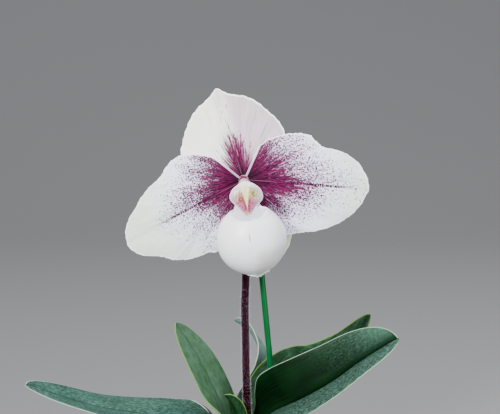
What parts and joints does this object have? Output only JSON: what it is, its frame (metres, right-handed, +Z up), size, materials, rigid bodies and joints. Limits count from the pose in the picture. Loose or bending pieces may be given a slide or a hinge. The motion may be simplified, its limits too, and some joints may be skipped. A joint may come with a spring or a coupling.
{
  "type": "slipper orchid in a pot",
  "caption": "Slipper orchid in flower: pouched bloom on a hairy stem beside a green stake, strap leaves, in a plain round pot of bark.",
  "frame": {"origin": "centre of the underside of the pot's foot", "axes": "+Z up along the pot and the flower stem, +X to the right and -Y out of the front as one faces the bloom"},
  "size_m": [0.1455, 0.0996, 0.2402],
  "materials": {
    "pot_plastic": "satin",
    "bark": "rough",
    "crown_tissue": "satin",
    "stake_green": "gloss",
    "leaf_mottled": "satin, mottled",
    "leaf_plain": "satin",
    "leaf_dark": "satin, mottled",
    "leaf_pale": "matte",
    "scape_maroon": "matte, hairy",
    "ovary_purple": "matte, hairy",
    "bract_green": "matte",
    "petal_white": "matte, spotted",
    "sepal_cream": "matte",
    "pouch_white": "satin",
    "column_pink": "satin"
  },
  "bodies": {
    "root": {"pot": "pot_plastic", "growing_medium": "bark", "crown": "crown_tissue", "stake": "stake_green", "leaf_left_low": "leaf_mottled", "leaf_left_upper": "leaf_plain", "leaf_right_front": "leaf_dark", "leaf_right_back": "leaf_plain", "leaf_back": "leaf_pale", "leaf_young": "leaf_dark", "scape": "scape_maroon", "ovary": "ovary_purple", "bract": "bract_green", "dorsal_sepal": "sepal_cream", "petal_left": "petal_white", "petal_right": "petal_white", "synsepal": "sepal_cream", "pouch": "pouch_white", "column": "column_pink"}
  },
  "joints": []
}
